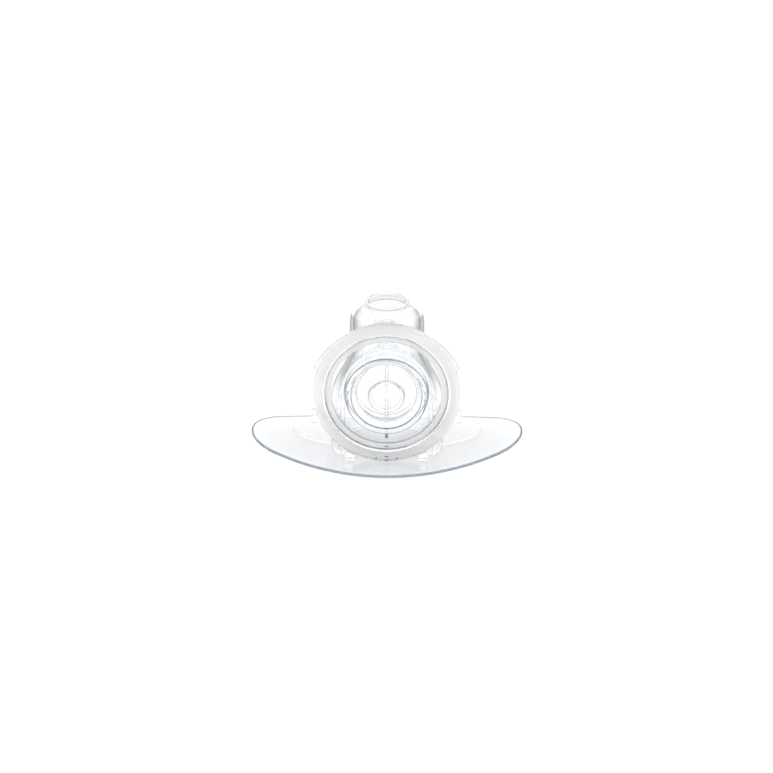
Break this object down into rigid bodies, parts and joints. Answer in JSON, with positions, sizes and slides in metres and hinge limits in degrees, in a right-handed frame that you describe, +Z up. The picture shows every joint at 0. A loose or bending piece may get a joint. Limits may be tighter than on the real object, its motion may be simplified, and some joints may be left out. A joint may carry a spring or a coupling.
{
  "type": "highlighting cap",
  "caption": "Clear hat-shaped plastic cap: bent oval brim, hollow bell crown with a lift-out cup, and a round front seat with twist bezel, soft diaphragm and push button.",
  "frame": {"origin": "centre of the footprint, on the plane the rest pads stand on", "axes": "+X along the brim's width, +Y from the front seat towards the back, +Z up through the crown"},
  "size_m": [0.1134, 0.059, 0.0672],
  "materials": {
    "clear_shell": "polished clear",
    "clear_inner": "polished clear",
    "frosted_plastic": "fine frosted",
    "smoke_plastic": "smoke grey",
    "clear_silicone": "soft translucent"
  },
  "bodies": {
    "frame": {"brim": "clear_shell", "rest_pads": "clear_silicone", "crown_shell": "clear_shell", "crown_liner": "clear_inner", "seat_ring": "clear_inner", "side_lugs": "clear_shell", "cradle_left": "clear_shell", "cradle_right": "clear_shell", "clamp_ring": "frosted_plastic", "index_key": "smoke_plastic", "guide_bridge": "clear_inner", "diaphragm": "clear_silicone"},
    "button": {"centre_button": "clear_inner", "button_stem": "clear_inner", "stem_clip": "frosted_plastic"},
    "bezel": {"bezel": "frosted_plastic"},
    "cup": {"crown_cup": "clear_inner", "cup_seal": "clear_silicone", "drip_tube": "clear_inner", "flap_valve": "clear_silicone"}
  },
  "joints": [
    {"name": "button_push", "type": "slide", "parent": "frame", "child": "button", "axis": [0, 1, 0], "range_m": [0, 0.0014], "stiffness_N_per_m": 900, "deforming": ["diaphragm"]},
    {"name": "bezel_twist", "type": "hinge", "parent": "frame", "child": "bezel", "pos_m": [0, -0.016, 0.0328], "axis": [0, -1, 0], "range_deg": [0, 28]},
    {"name": "cup_lift", "type": "slide", "parent": "frame", "child": "cup", "axis": [0, 0, 1], "range_m": [0, 0.024]}
  ]
}
